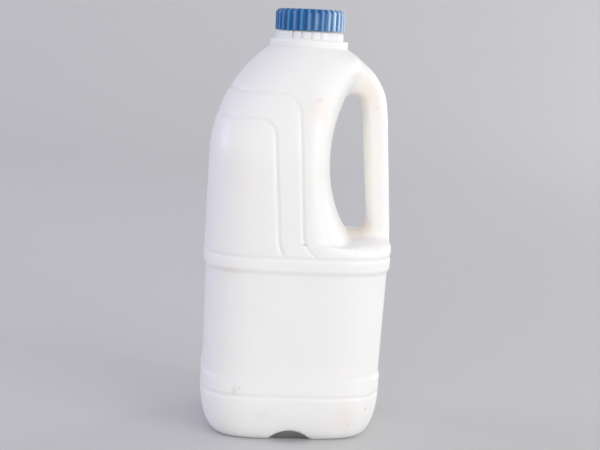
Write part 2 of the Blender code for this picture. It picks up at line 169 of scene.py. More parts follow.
# Cap
CAP_RADIUS = 20.9 * MM
CAP_BOTTOM = 242.0 * MM
CAP_TOP = 254.8 * MM
CAP_BEVEL = 3.6 * MM
CAP_RIBS = 30
CAP_RIB_DEPTH = 0.6 * MM
CAP_DISH_RADIUS = 14.5 * MM
CAP_DISH_DEPTH = 0.5 * MM
CAP_BORE_RADIUS = 18.2 * MM
CAP_BORE_TOP = 252.0 * MM
CAP_POINTS_PER_RIB = 14
CAP_TILT_DEGREES = 1.0
CAP_RIM_CHAMFER = 0.3 * MM
CAP_RIB_SHARPNESS = 0.7

# Softening of edges that the mould rounds: how far it reaches, and how many smoothing passes
JUNCTION_MERGE = 0.35 * MM
JUNCTION_EVEN_REACH = 2.0 * MM
JUNCTION_REACH = 9.0 * MM
JUNCTION_PASSES = 60
SHELF_EDGE_REACH = 9.0 * MM
SHELF_EDGE_PASSES = 40
SMOOTH_SHADING_DEGREES = 40.0

# Mesh spacing
FINE_ROW = 0.5 * MM
COARSE_ROW = 1.5 * MM
FINE_ROW_SPAN = (2.0 * MM, 6.0 * MM)
SHELF_ROWS = 14
SEAM_FRACTION = 0.012
SEAM_POINTS = 4
NECK_POINTS = 176
HANDLE_RING_POINTS = 56
CURVE_POINTS = 361
BORE_POINTS = 96

# Camera, from the photograph
CAMERA_AZIMUTH = -3.24
CAMERA_DISTANCE = 860.0 * MM
CAMERA_HEIGHT = 243.8 * MM
CAMERA_ROLL = 3.6
CAMERA_TARGET = (1.5 * MM, 123.25 * MM)
WIDTH_SEEN = 369.6 * MM

# Colours, linear
WHITE = (0.885, 0.883, 0.870)
# Painted light: near-white for the shelf under the handle, which lies in shade.
PAINTED_LIGHT_WHITE = (0.96, 0.96, 0.945)
WHITE_CLOUD = (0.850, 0.850, 0.838)
WHITE_STREAK = (0.860, 0.862, 0.855)
# Painted warm shade, deeper painted warm shade and warm painted light round the finger hole and the handle.
PAINTED_SHADE_CREAM = (0.89, 0.825, 0.735)
SHADED_CREAM = (0.85, 0.78, 0.69)
PAINTED_LIGHT_CREAM = (0.95, 0.91, 0.85)
PALE_PINK = (0.86, 0.76, 0.70)
BROWN = (0.60, 0.46, 0.34)
GREY_SMEAR = (0.72, 0.70, 0.69)
SCUFF_TINT = (0.74, 0.73, 0.72)
SPECK_TINT = (0.45, 0.36, 0.28)
BLUE = (0.002, 0.125, 0.37)
BLUE_CLOUD = (0.004, 0.18, 0.40)
# Painted shade between the cap's ribs, also the colour of its streaks; then a painted highlight for the
# crests, painted light for the cap's handle side, and a painted highlight for the crests on that side.
BLUE_STREAK_AND_VALLEY_SHADE = (0.001, 0.05, 0.19)
PAINTED_CREST_HIGHLIGHT_BLUE = (0.15, 0.40, 0.74)
PAINTED_LIT_SIDE_BLUE = (0.22, 0.43, 0.70)
PAINTED_SIDE_HIGHLIGHT_BLUE = (0.52, 0.66, 0.84)
BLUE_SCUFF = (0.16, 0.34, 0.60)
FLOOR_PALE = (0.63, 0.63, 0.63)
FLOOR_SHADE = (0.60, 0.60, 0.605)

# Painted light on the shelf and on the handle's inner face, painted warm shade round the top and the foot of
# the finger hole, then pale pink tints. Each has its centre, its reach along each axis, its colour and its
# strength. The last one is on the back.
PAINTED_LIGHT_SHADE_AND_TINTS = (
    # painted light on the shelf under the handle, which lies in shade
    ((0.040, -0.030, 0.119), (0.030, 0.040, 0.008), PAINTED_LIGHT_WHITE, 1.0),
    # warm painted light on the handle's inner face, which faces the body and lies in shade
    ((0.040, 0.0, 0.166), (0.010, 0.040, 0.052), PAINTED_LIGHT_CREAM, 0.9),
    # painted warm shade in the recess round the top of the finger hole
    ((0.036, 0.0, 0.206), (0.014, 0.040, 0.020), PAINTED_SHADE_CREAM, 0.8),
    # painted shade on the recess floor at the foot of the finger hole
    ((0.035, 0.0, 0.124), (0.018, 0.040, 0.011), SHADED_CREAM, 0.9),
    # pale pink tints
    ((-0.0365, -0.053, 0.155), (0.012, 0.020, 0.022), PALE_PINK, 0.12),
    ((0.0327, -0.048, 0.0146), (0.011, 0.020, 0.016), PALE_PINK, 0.35),
    ((-0.020, 0.050, 0.140), (0.014, 0.020, 0.020), PALE_PINK, 0.15),
)

# Stains and smears, in the same form. The last three are on the back and the left.
STAINS = (
    ((-0.0342, -0.0538, 0.0306), (0.0022, 0.005, 0.0050), BROWN, 0.28),
    ((-0.0308, -0.0542, 0.0327), (0.0016, 0.004, 0.0018), BROWN, 0.38),
    ((0.0343, -0.0474, 0.0102), (0.0022, 0.005, 0.0022), BROWN, 0.35),
    ((0.0328, -0.0478, 0.0047), (0.0028, 0.006, 0.0020), BROWN, 0.45),
    ((0.0325, -0.0479, 0.1147), (0.0018, 0.004, 0.0024), BROWN, 0.45),
    ((0.0420, -0.0120, 0.1997), (0.0011, 0.004, 0.0013), BROWN, 0.40),
    ((0.0068, -0.0458, 0.1972), (0.0085, 0.014, 0.0110), PALE_PINK, 0.40),
    ((0.0060, -0.0440, 0.2017), (0.0022, 0.005, 0.0030), GREY_SMEAR, 0.45),
    ((-0.0157, -0.0540, 0.0158), (0.0080, 0.010, 0.0045), GREY_SMEAR, 0.22),
    ((-0.0405, -0.0518, 0.1031), (0.0060, 0.010, 0.0035), PALE_PINK, 0.40),
    ((0.0180, 0.0520, 0.0610), (0.0030, 0.006, 0.0050), BROWN, 0.30),
    ((-0.0280, 0.0520, 0.1700), (0.0060, 0.012, 0.0080), GREY_SMEAR, 0.30),
    ((-0.0540, 0.0120, 0.0850), (0.0060, 0.004, 0.0060), GREY_SMEAR, 0.25),
)

# Floor
FLOOR_SIZE = 8.0
FLOOR_DEPTH = 3.0
FLOOR_BEND = 1.5

# Softboxes: name, place, width and height, watts, colour. The key and the fill are a little warm. The
# left one is lavender, as the light on the jug's left edge is. The strips shine in the cap's ribs.
SOFTBOXES = (
    ("key", (2.0, -2.7, 0.8), (2.0, 1.6), 31.0, (1.0, 0.985, 0.925)),
    ("fill", (-0.7, -3.0, 0.8), (1.8, 1.4), 8.5, (1.0, 0.985, 0.94)),
    ("overhead", (0.3, -0.5, 2.2), (1.2, 1.2), 0.8, (1.0, 1.0, 1.0)),
    ("left", (-2.6, 0.35, 0.95), (0.9, 0.9), 17.0, (0.66, 0.65, 1.0)),
    ("strip_front_right", (2.6, -1.65, 0.7), (0.08, 1.2), 13.0, (1.0, 1.0, 1.0)),
    ("strip_right", (2.9, 0.9, 0.7), (0.10, 1.2), 6.0, (1.0, 1.0, 1.0)),
    ("strip_back_right", (1.9, 2.0, 0.7), (0.6, 1.2), 15.0, (1.0, 1.0, 1.0)),
)
SOFTBOX_AIM = (0.0, 0.0, 0.12)
WORLD_COLOUR = (0.96, 0.95, 1.0)
WORLD_STRENGTH = 0.70


# Small sums

def smoothstep(start, end, value):
    """Rise from 0 at start to 1 at end, level at both."""
    t = np.clip((value - start) / (end - start), 0.0, 1.0)
    return t * t * (3.0 - 2.0 * t)


def mix(a, b, t):
    """The value a fraction t of the way from a to b."""
    return a + (b - a) * t


def arc_inset(fraction):
    """Inset of a unit quarter circle, from 0 at its tangent to 1 at the end of its rise."""
    return 1.0 - np.sqrt(np.maximum(1.0 - fraction * fraction, 0.0))


def rounded_minimum(a, b, rounding):
    """The smaller of two values, rounded off where they are nearly equal."""
    overlap = max(rounding - abs(a - b), 0.0)
    return min(a, b) - overlap * overlap / (4.0 * rounding)


def groove(distance, depth, spread):
    """Depth of a soft groove, or height of a soft ridge, at a distance from its middle."""
    return depth * np.exp(-(distance / spread) ** 2)


def line_at(line, z):
    """The x of a straight line in the XZ plane at height z."""
    (x0, z0), (x1, z1) = line
    return mix(x0, x1, (z - z0) / (z1 - z0))


# Form of the body

def wall_half(z):
    """Half width of the body where nothing is recessed."""
    heel = BAND_HALF - BASE_INSET * arc_inset(np.clip((HEEL_HEIGHT - z) / HEEL_HEIGHT, 0.0, 1.0))
    label = mix(LABEL_LOW_HALF, LABEL_HIGH_HALF, (z - BAND_TOP) / (LABEL_TOP - BAND_TOP))
    half = mix(heel, label, smoothstep(BAND_TOP - STEP_HEIGHT / 2, BAND_TOP + STEP_HEIGHT / 2, z))
    half = mix(half, WAIST_HALF, smoothstep(LABEL_TOP - STEP_HEIGHT / 2, LABEL_TOP + STEP_HEIGHT / 2, z))
    half -= SHOULDER_RADIUS * arc_inset(np.maximum(z - SHOULDER_START, 0.0) / SHOULDER_RADIUS)
    for centre in (HEEL_GROOVE_Z, WAIST_GROOVE_Z):
        half -= groove(z - centre, RING_GROOVE_DEPTH, RING_GROOVE_SPREAD)
    return half


def recess_wall(z):
    """The body's right wall beside the finger hole."""
    return RECESS_APEX + RECESS_RADIUS - math.sqrt(RECESS_RADIUS ** 2 - (z - RECESS_CENTRE_Z) ** 2)


def right_reach(z):
    """How far the body reaches to the right: waist, shelf, recess, then the shoulder over the handle."""
    rounding_start = SHELF_Z - SHELF_ROUNDING
    if z <= SHELF_Z:
        return wall_half(z) - SHELF_ROUNDING * arc_inset(max(z - rounding_start, 0.0) / SHELF_ROUNDING)
    fillet_top = SHELF_Z + SHELF_FILLET
    fillet = SHELF_FILLET * arc_inset(max(fillet_top - z, 0.0) / SHELF_FILLET)
    wall = recess_wall(max(z, fillet_top)) + fillet
    centre_x, centre_z = HANDLE_ARC_CENTRE
    over_handle = centre_x + math.sqrt(HANDLE_ARC_RADIUS ** 2 - max(z - centre_z, 0.0) ** 2)
    return rounded_minimum(wall, over_handle, RIDGE_ROUNDING)


def body_rows():
    """(height, right reach, front rounding) of the body's rings, close together where the wall turns."""
    heel = [HEEL_HEIGHT * (1.0 - math.cos(math.radians(a))) for a in range(0, 18, 3)]
    fine = [HEEL_GROOVE_Z, BAND_TOP, LABEL_TOP, WAIST_GROOVE_Z, RIDGE_Z]
    fine += [panel["level_z"] for panel in PANEL_GROOVES]
    fillet_top = SHELF_Z + SHELF_FILLET
    edge_start = SHELF_Z - SHELF_FRONT_ROUNDING
    levels = heel + spaced_levels(heel[-1], edge_start, fine)
    levels += [edge_start + SHELF_FRONT_ROUNDING * math.sin(math.radians(a)) for a in range(10, 91, 8)]
    rows = []
    for z in levels:
        rounding = SHELF_FRONT_ROUNDING * arc_inset(max(z - edge_start, 0.0) / SHELF_FRONT_ROUNDING)
        rows.append((z, right_reach(z), rounding))
    fillet = [SHELF_Z + SHELF_FILLET * (1.0 - math.cos(math.radians(a))) for a in range(8, 91, 12)]
    edge_right = right_reach(levels[-1])
    for t in np.linspace(0.0, 1.0, SHELF_ROWS)[1:-1]:
        right = mix(edge_right, right_reach(fillet[0]), t)
        rows.append((SHELF_Z, right, SHELF_FRONT_ROUNDING * (1.0 - t)))
    rows += [(z, right_reach(z), 0.0) for z in fillet + spaced_levels(fillet_top, BODY_TOP, fine)]
    return rows


def spaced_levels(start, end, fine):
    """Heights after start up to end, closer together near the fine heights."""
    levels = [start]
    while levels[-1] < end:
        nearest = min(abs(levels[-1] - height) for height in fine)
        levels.append(levels[-1] + mix(FINE_ROW, COARSE_ROW, smoothstep(*FINE_ROW_SPAN, nearest)))
    stretch = (end - start) / (levels[-1] - start)
    return [start + (z - start) * stretch for z in levels[1:]]


def quarter_stops(coarse_count, fine_count, fine_from):
    """Fractions along a quarter of a ring: close at the seam and near the middle of the front."""
    seam = np.linspace(0.0, SEAM_FRACTION, SEAM_POINTS, endpoint=False)
    coarse = np.linspace(SEAM_FRACTION, fine_from, coarse_count, endpoint=False)
    return np.r_[seam, coarse, np.linspace(fine_from, 1.0, fine_count)]


RIGHT_STOPS = quarter_stops(coarse_count=46, fine_count=20, fine_from=0.86)
LEFT_STOPS = quarter_stops(coarse_count=40, fine_count=38, fine_from=0.73)


def quarter_curve(reach, depth, power, stops):
    """Points of a superellipse quarter from (reach, 0) to (0, depth), at fractions of its length."""
    turn = np.linspace(0.0, math.pi / 2, CURVE_POINTS)
    curve = np.c_[reach * np.cos(turn) ** (2.0 / power), depth * np.sin(turn) ** (2.0 / power)]
    curve[-1] = (0.0, depth)
    length = np.r_[0.0, np.cumsum(np.hypot(*np.diff(curve, axis=0).T))]
    return np.c_[np.interp(stops * length[-1], length, curve[:, 0]),
                 np.interp(stops * length[-1], length, curve[:, 1])]


def front_half(z):
    """Half width that sets the depth: as wall_half, with a softer step above the heel band."""
    hard = smoothstep(BAND_TOP - STEP_HEIGHT / 2, BAND_TOP + STEP_HEIGHT / 2, z)
    soft = smoothstep(BAND_TOP - 3.0 * STEP_HEIGHT, BAND_TOP + 3.0 * STEP_HEIGHT, z)
    return wall_half(z) + (BAND_HALF - LABEL_LOW_HALF) * (hard - soft)


def shelf_fall(x, y, z):
    """How far the shelf's crowned surface lies below its middle."""
    below = smoothstep(WAIST_GROOVE_Z + RING_GROOVE_SPREAD, SHELF_Z, z)
    above = smoothstep(SHELF_Z + SHELF_FILLET, SHELF_Z + 6.0 * SHELF_FILLET, z)
    return SHELF_FALL * below * (1.0 - above) * smoothstep(*SHELF_FALL_SPAN, x) * (y / BAND_HALF) ** 2


def body_ring(z, right, front_rounding):
    """Ring of points round the body, anticlockwise from the handle side and back to it."""
    half = wall_half(z)
    roundness = smoothstep(SHOULDER_START, COLLAR_BOTTOM, z)
    recessed = smoothstep(SHELF_Z - SHELF_ROUNDING, SHELF_Z + SHELF_FILLET, z)
    depth = front_half(z) * mix(DEPTH_RATIO, 1.0, roundness)
    left_power = mix(WALL_POWER, 2.0, roundness)
    right_power = mix(mix(WALL_POWER, RECESS_POWER, recessed), 2.0, roundness)
    back_right = quarter_curve(right, depth, right_power, RIGHT_STOPS)
    back_left = quarter_curve(half, depth, left_power, LEFT_STOPS)[-2::-1] * (-1.0, 1.0)
    back = np.r_[back_right, back_left]
    ring = np.r_[back, back[-2::-1] * (1.0, -1.0)]
    ring[:, 1] *= 1.0 - PLAN_TAPER * (1.0 - roundness) * ring[:, 0] / half
    ring[:, 1] *= 1.0 - front_rounding / depth * smoothstep(*SHELF_FRONT_SPAN, ring[:, 0])
    return np.c_[ring, z - shelf_fall(ring[:, 0], ring[:, 1], z)]


def panel_groove_distance(x, z, foot_x, head_x, flare, level_z, bend):
    """Distance from one panel groove: up the front, round a bend, then level round the left side."""
    flare_top = WAIST_GROOVE_Z + PANEL_FLARE_HEIGHT
    bend_start = level_z - bend
    rise = np.clip((z - WAIST_GROOVE_Z) / PANEL_FLARE_HEIGHT, 0.0, 1.0)
    upright_x = mix(foot_x, head_x, np.maximum(z - flare_top, 0.0) / (bend_start - flare_top))
    upright = np.abs(x - upright_x - flare * (1.0 - rise) ** 2)
    bent = np.abs(np.hypot(x - head_x + bend, z - bend_start) - bend)
    level = np.abs(z - level_z)
    distance = np.where(z < bend_start, upright, np.where(x > head_x - bend, bent, level))
    return np.where(z > WAIST_GROOVE_Z, distance, 1.0)


def arch_height(x):
    """Height of the moulded arch over the floor at x, below the floor outside it."""
    return ARCH_HEIGHT - ARCH_RADIUS * arc_inset(np.clip(np.abs(x) / ARCH_RADIUS, 0.0, 1.0))


# Form of the handle

def fan_direction(degrees):
    """Unit vector in the XZ plane, at an angle up from the level direction to the right."""
    return math.cos(math.radians(degrees)), math.sin(math.radians(degrees))


def reach_to_arc(start, direction):
    """Distance from start along direction to the shoulder's arc over the handle."""
    offset_x = start[0] - HANDLE_ARC_CENTRE[0]
    offset_z = start[1] - HANDLE_ARC_CENTRE[1]
    along = offset_x * direction[0] + offset_z * direction[1]
    return -along + math.sqrt(along ** 2 - offset_x ** 2 - offset_z ** 2 + HANDLE_ARC_RADIUS ** 2)


def reach_to_grip(start, direction):
    """Distance from start along direction to the straight outer line of the grip."""
    (x0, z0), (x1, z1) = GRIP_OUTER
    slope = (x1 - x0) / (z1 - z0)
    return (line_at(GRIP_OUTER, start[1]) - start[0]) / (direction[0] - slope * direction[1])


def top_stations():
    """Sections of the handle round the upper end of the hole, from inside the shoulder outwards."""
    for degrees in np.arange(TOP_FAN_DEGREES, FAN_END_DEGREES, -FAN_STEP_DEGREES):
        direction = fan_direction(degrees)
        widening = smoothstep(TOP_WIDENING_START, TOP_FAN_DEGREES, degrees)
        near = HOLE_TOP_RADIUS + HOLE_TOP_WIDENING * widening
        reach = reach_to_arc(HOLE_TOP_CENTRE, direction)
        if degrees < TOP_MEETS_GRIP_DEGREES:
            grip_reach = reach_to_grip(HOLE_TOP_CENTRE, direction)
            reach = rounded_minimum(reach, grip_reach, GRIP_MEETING_ROUNDING)
        reach -= TOP_SINK * smoothstep(*TOP_SINK_DEGREES, degrees)
        reach = mix(reach, TOP_REACH, smoothstep(TOP_SINK_DEGREES[1], TOP_FAN_DEGREES, degrees))
        thickness = GRIP_HALF_THICKNESS + TOP_THICKENING * smoothstep(*TOP_THICKENING_DEGREES, degrees)
        yield HOLE_TOP_CENTRE, direction, near, reach, thickness, GRIP_POWER


def grip_stations():
    """Level sections down the straight part of the handle."""
    for z in np.linspace(GRIP_INNER[1][1], GRIP_INNER[0][1], GRIP_SECTIONS):
        inner = line_at(GRIP_INNER, z)
        yield (inner, z), (1.0, 0.0), 0.0, line_at(GRIP_OUTER, z) - inner, GRIP_HALF_THICKNESS, GRIP_POWER


def foot_stations():
    """Sections round the lower end of the hole, into the shelf and the body's wall."""
    for degrees in np.arange(FAN_END_DEGREES, FOOT_FAN_DEGREES, FAN_STEP_DEGREES):
        direction = fan_direction(-degrees)
        widening = smoothstep(FOOT_WIDENING_START, FOOT_FAN_DEGREES, degrees)
        near = HOLE_FOOT_RADIUS + HOLE_FOOT_WIDENING * widening
        reach = FOOT_REACH
        if degrees < FOOT_MEETS_GRIP_DEGREES:
            grip_reach = reach_to_grip(HOLE_FOOT_CENTRE, direction)
            reach = rounded_minimum(reach, grip_reach, GRIP_MEETING_ROUNDING)
        reach *= 1.0 - FOOT_NARROWING * widening
        thickness = GRIP_HALF_THICKNESS + FOOT_THICKENING * smoothstep(*FOOT_THICKENING_DEGREES, degrees)
        power = mix(GRIP_POWER, FOOT_POWER, smoothstep(*FOOT_SOFTENING_DEGREES, degrees))
        yield HOLE_FOOT_CENTRE, direction, near, reach, thickness, power


def handle_ring(centre, direction, near, far, thickness, power):
    """Rounded section between two distances from a centre, along a direction in the XZ plane."""
    turn = np.linspace(0.0, 2.0 * math.pi, HANDLE_RING_POINTS + 1)
    cosine, sine = np.cos(turn), np.sin(turn)
    along = (near + far) / 2 + (far - near) / 2 * np.sign(cosine) * np.abs(cosine) ** (2.0 / power)
    across = thickness * np.sign(sine) * np.abs(sine) ** (2.0 / power)
    across[-1] = 0.0
    return np.c_[centre[0] + along * direction[0], across, centre[1] + along * direction[1]]


# Ways of modelling

def deselect():
    """Deselect every object."""
    bpy.ops.object.select_all(action="DESELECT")


def only(piece):
    """Select one object and make it the active one."""
    deselect()
    piece.select_set(True)
    bpy.context.view_layer.objects.active = piece


def name_new(name):
    """Name the object that an operator has just made, and its mesh."""
    piece = bpy.context.object
    piece.name = name
    piece.data.name = name
    return piece


def settle(piece):
    """Put a finished object's place into its mesh and turn its faces outwards."""
    only(piece)
    bpy.ops.object.transform_apply(location=True, rotation=True, scale=True)
    bpy.ops.object.mode_set(mode="EDIT")
    bpy.ops.mesh.select_all(action="SELECT")
    bpy.ops.mesh.normals_make_consistent(inside=False)
    bpy.ops.object.mode_set(mode="OBJECT")
    return piece


def apply_modifier(piece, kind, **settings):
    """Add a modifier with its settings and apply it at once."""
    only(piece)
    modifier = piece.modifiers.new(kind.lower(), kind)
    for name, value in settings.items():
        setattr(modifier, name, value)
    bpy.ops.object.modifier_apply(modifier=modifier.name)


def select_edges(piece, wanted):
    """In edit mode, select the edges whose middle point meets a test."""
    bpy.ops.mesh.select_all(action="DESELECT")
    bm = bmesh.from_edit_mesh(piece.data)
    for edge in bm.edges:
        edge.select = wanted((edge.verts[0].co + edge.verts[1].co) / 2)
    bmesh.update_edit_mesh(piece.data)


def cut_or_join(piece, tool, operation):
    """Apply a Boolean with another object, and remove that object."""
    apply_modifier(piece, "BOOLEAN", object=tool, operation=operation, solver="EXACT")
    bpy.data.objects.remove(tool, do_unlink=True)


def wrapped_grid(name, rings):
    """A grid primitive wrapped into a tube: each ring of points ends where it starts."""
    rings = np.array(rings)
    rows, columns = rings.shape[:2]
    deselect()
    bpy.ops.mesh.primitive_grid_add(x_subdivisions=columns - 1, y_subdivisions=rows - 1, size=1.0)
    piece = name_new(name)
    flat = np.zeros(rows * columns * 3)
    piece.data.vertices.foreach_get("co", flat)
    spot = flat.reshape(-1, 3)
    column = np.rint((spot[:, 0] + 0.5) * (columns - 1)).astype(int)
    row = np.rint((spot[:, 1] + 0.5) * (rows - 1)).astype(int)
    piece.data.vertices.foreach_set("co", rings[row, column].ravel())
    only(piece)
    bpy.ops.object.mode_set(mode="EDIT")
    bpy.ops.mesh.select_all(action="SELECT")
    bpy.ops.mesh.remove_doubles(threshold=0.01 * MM)
    bpy.ops.mesh.select_all(action="DESELECT")
    bpy.ops.mesh.select_mode(type="EDGE")
    bpy.ops.mesh.select_non_manifold()
    bpy.ops.mesh.fill_holes(sides=0)
    bpy.ops.object.mode_set(mode="OBJECT")
    return settle(piece)


def turned(name, profile, points):
    """Turn a profile of (radius, height) round the axis: a disc, extruded and sized for each step."""
    radius, z = profile[0]
    deselect()
    start = {"radius": radius, "location": (0.0, 0.0, z)}
    bpy.ops.mesh.primitive_circle_add(vertices=points, fill_type="NGON", **start)
    piece = name_new(name)
    bpy.ops.object.mode_set(mode="EDIT")
    bpy.ops.mesh.select_mode(type="FACE")
    bpy.ops.mesh.select_all(action="SELECT")
    for next_radius, next_z in profile[1:]:
        scale = next_radius / radius
        bpy.ops.mesh.extrude_region_move(TRANSFORM_OT_translate={"value": (0.0, 0.0, next_z - z)})
        bpy.ops.transform.resize(value=(scale, scale, 1.0), center_override=(0.0, 0.0, next_z))
        radius, z = next_radius, next_z
    bpy.ops.object.mode_set(mode="OBJECT")
    return settle(piece)


def mesh_points(piece):
    """Array of a mesh's points, one row for each."""
    flat = np.zeros(len(piece.data.vertices) * 3)
    piece.data.vertices.foreach_get("co", flat)
    return flat.reshape(-1, 3)


def set_mesh_points(piece, points):
    """Move a mesh's points to the rows of an array."""
    piece.data.vertices.foreach_set("co", points.ravel())
    piece.data.update()


def mesh_normals(piece):
    """Array of a mesh's normals at its points."""
    flat = np.zeros(len(piece.data.vertices) * 3)
    piece.data.vertices.foreach_get("normal", flat)
    return flat.reshape(-1, 3)


# The white body

def shell():
    """The body without handle and neck, with its grooves, seam and base arch."""
    piece = wrapped_grid("jug_shell", [body_ring(*row) for row in body_rows()])
    points = mesh_points(piece)
    x, y, z = points.T
    depth = np.zeros(len(points))
    for panel in PANEL_GROOVES:
        distance = panel_groove_distance(x, z, **panel)
        depth = np.maximum(depth, groove(distance, PANEL_GROOVE_DEPTH, PANEL_GROOVE_SPREAD))
    depth *= smoothstep(WAIST_GROOVE_Z, WAIST_GROOVE_Z + 3.0 * RING_GROOVE_SPREAD, z)
    raised = groove(y, SEAM_HEIGHT, SEAM_SPREAD)
    points += mesh_normals(piece) * (raised - depth)[:, None]
    low = points[:, 2] < 2.0 * ARCH_HEIGHT
    over = arch_height(points[:, 0]) - points[:, 2]
    lift = 0.5 * (over + np.sqrt(over ** 2 + ARCH_SOFTNESS ** 2)) * smoothstep(-3.0 * MM, 0.0, over)
    points[low, 2] += lift[low]
    points[:, 2] = np.maximum(points[:, 2], 0.0)
    set_mesh_points(piece, points)
    edge = body_ring(SHELF_Z, right_reach(SHELF_Z), 0.0)
    soften(piece, [point for point in edge if point[0] > RECESS_APEX], SHELF_EDGE_REACH, SHELF_EDGE_PASSES)
    return piece


def handle():
    """The handle with its raised seam, its two ends buried in the body."""
    stations = [*top_stations(), *grip_stations(), *foot_stations()]
    piece = wrapped_grid("jug_handle", [handle_ring(*station) for station in stations])
    points = mesh_points(piece)
    raised = groove(points[:, 1], SEAM_HEIGHT, SEAM_SPREAD)
    set_mesh_points(piece, points + mesh_normals(piece) * raised[:, None])
    return piece


def neck():
    """Collar, ratchet band and spigot, turned with softened edges."""
    soft = NECK_SOFTNESS
    profile = [
        (COLLAR_RADIUS - COLLAR_TAPER, COLLAR_BOTTOM - NECK_SINK),
        (COLLAR_RADIUS, COLLAR_BOTTOM),
        (COLLAR_RADIUS, COLLAR_TOP - soft),
        (COLLAR_RADIUS - soft, COLLAR_TOP),
        (TEETH_RADIUS + soft, COLLAR_TOP),
        (TEETH_RADIUS, COLLAR_TOP + soft),
        (TEETH_RADIUS, TEETH_TOP - soft),
        (TEETH_RADIUS - soft, TEETH_TOP),
        (SPIGOT_RADIUS, TEETH_TOP),
        (SPIGOT_RADIUS, SPIGOT_TOP),
    ]
    return turned("jug_neck", profile, NECK_POINTS)


def ratchet_slots():
    """One tapered slot, copied round the band in two groups."""
    deselect()
    height = TEETH_TOP - SLOT_FLOOR + SLOT_DEPTH
    bpy.ops.mesh.primitive_cube_add(size=1.0, location=(0.0, -TEETH_RADIUS, SLOT_FLOOR + height / 2))
    first = name_new("slot")
    first.scale = (SLOT_WIDTH, 2.0 * SLOT_DEPTH, height)
    settle(first)
    points = mesh_points(first)
    shallow = (points[:, 0] > 0.0) & (points[:, 1] > -TEETH_RADIUS)
    points[shallow, 1] = -TEETH_RADIUS - 0.1 * SLOT_DEPTH
    set_mesh_points(first, points)
    pitch = 360.0 / SLOTS_PER_TURN
    copies = []
    for group in (0.0, 180.0):
        for k in range(SLOTS_PER_GROUP):
            copy = first.copy()
            copy.data = first.data.copy()
            bpy.context.scene.collection.objects.link(copy)
            turn = math.radians(FIRST_SLOT_DEGREES + group + k * pitch)
            copy.data.transform(Matrix.Rotation(turn, 4, "Z"))
            copies.append(copy)
    bpy.data.objects.remove(first, do_unlink=True)
    only(copies[0])
    for copy in copies:
        copy.select_set(True)
    bpy.ops.object.join()
    return copies[0]


def junction_points(piece):
    """Places where faces of different material slots meet."""
    slots_at = {}
    for polygon in piece.data.polygons:
        for vertex in polygon.vertices:
            slots_at.setdefault(vertex, set()).add(polygon.material_index)
    return [piece.data.vertices[index].co.copy() for index, slots in slots_at.items() if len(slots) > 1]


def distances_to(piece, places):
    """Distance of each vertex of a piece from the nearest of some places."""
    tree = KDTree(len(places))
    for index, place in enumerate(places):
        tree.insert(place, index)
    tree.balance()
    return [tree.find(vertex.co)[2] for vertex in piece.data.vertices]


def even_out(piece, places, reach):
    """Turn the slivers that a Boolean leaves near some places into even triangles."""
    distances = distances_to(piece, places)
    only(piece)
    bpy.ops.object.mode_set(mode="EDIT")
    bpy.ops.mesh.select_mode(type="VERT")
    bpy.ops.mesh.select_all(action="DESELECT")
    bpy.ops.object.mode_set(mode="OBJECT")
    for vertex, distance in zip(piece.data.vertices, distances):
        vertex.select = distance < reach
    bpy.ops.object.mode_set(mode="EDIT")
    bpy.ops.mesh.select_mode(type="VERT")
    bpy.ops.mesh.remove_doubles(threshold=JUNCTION_MERGE)
    bpy.ops.mesh.quads_convert_to_tris(quad_method="BEAUTY", ngon_method="BEAUTY")
    bpy.ops.mesh.beautify_fill()
    bpy.ops.object.mode_set(mode="OBJECT")


def soften(piece, places, reach, iterations):
    """Smooth the surface near some places, as plastic stretched over a mould does."""
    group = piece.vertex_groups.new(name="near_places")
    for index, distance in enumerate(distances_to(piece, places)):
        if distance < reach:
            group.add([index], 1.0 - smoothstep(0.0, reach, distance), "REPLACE")
    apply_modifier(piece, "SMOOTH", factor=0.5, iterations=iterations, vertex_group="near_places")
    piece.vertex_groups.clear()


def jug_body(plastic):
    """Shell, handle and neck joined into one mesh, with the handle's ends blended into the shell.

    Until the handle is blended in, its faces have a second material slot, to find where it joins.
    """
    piece = shell()
    grip = handle()
    top = neck()
    for part, slot in ((piece, 0), (grip, 1), (top, 0)):
        for _ in range(2):
            part.data.materials.append(plastic)
        part.data.polygons.foreach_set("material_index", [slot] * len(part.data.polygons))
    cut_or_join(piece, grip, "UNION")
    places = junction_points(piece)
    even_out(piece, places, JUNCTION_EVEN_REACH)
    soften(piece, places, JUNCTION_REACH, JUNCTION_PASSES)
    cut_or_join(piece, top, "UNION")
    cut_or_join(piece, ratchet_slots(), "DIFFERENCE")
    piece.data.polygons.foreach_set("material_index", [0] * len(piece.data.polygons))
    only(piece)
    piece.active_material_index = 1
    bpy.ops.object.material_slot_remove()
    piece.name = "milk_jug_body"
    bpy.ops.object.shade_smooth_by_angle(angle=math.radians(SMOOTH_SHADING_DEGREES))
    return piece


# The blue cap

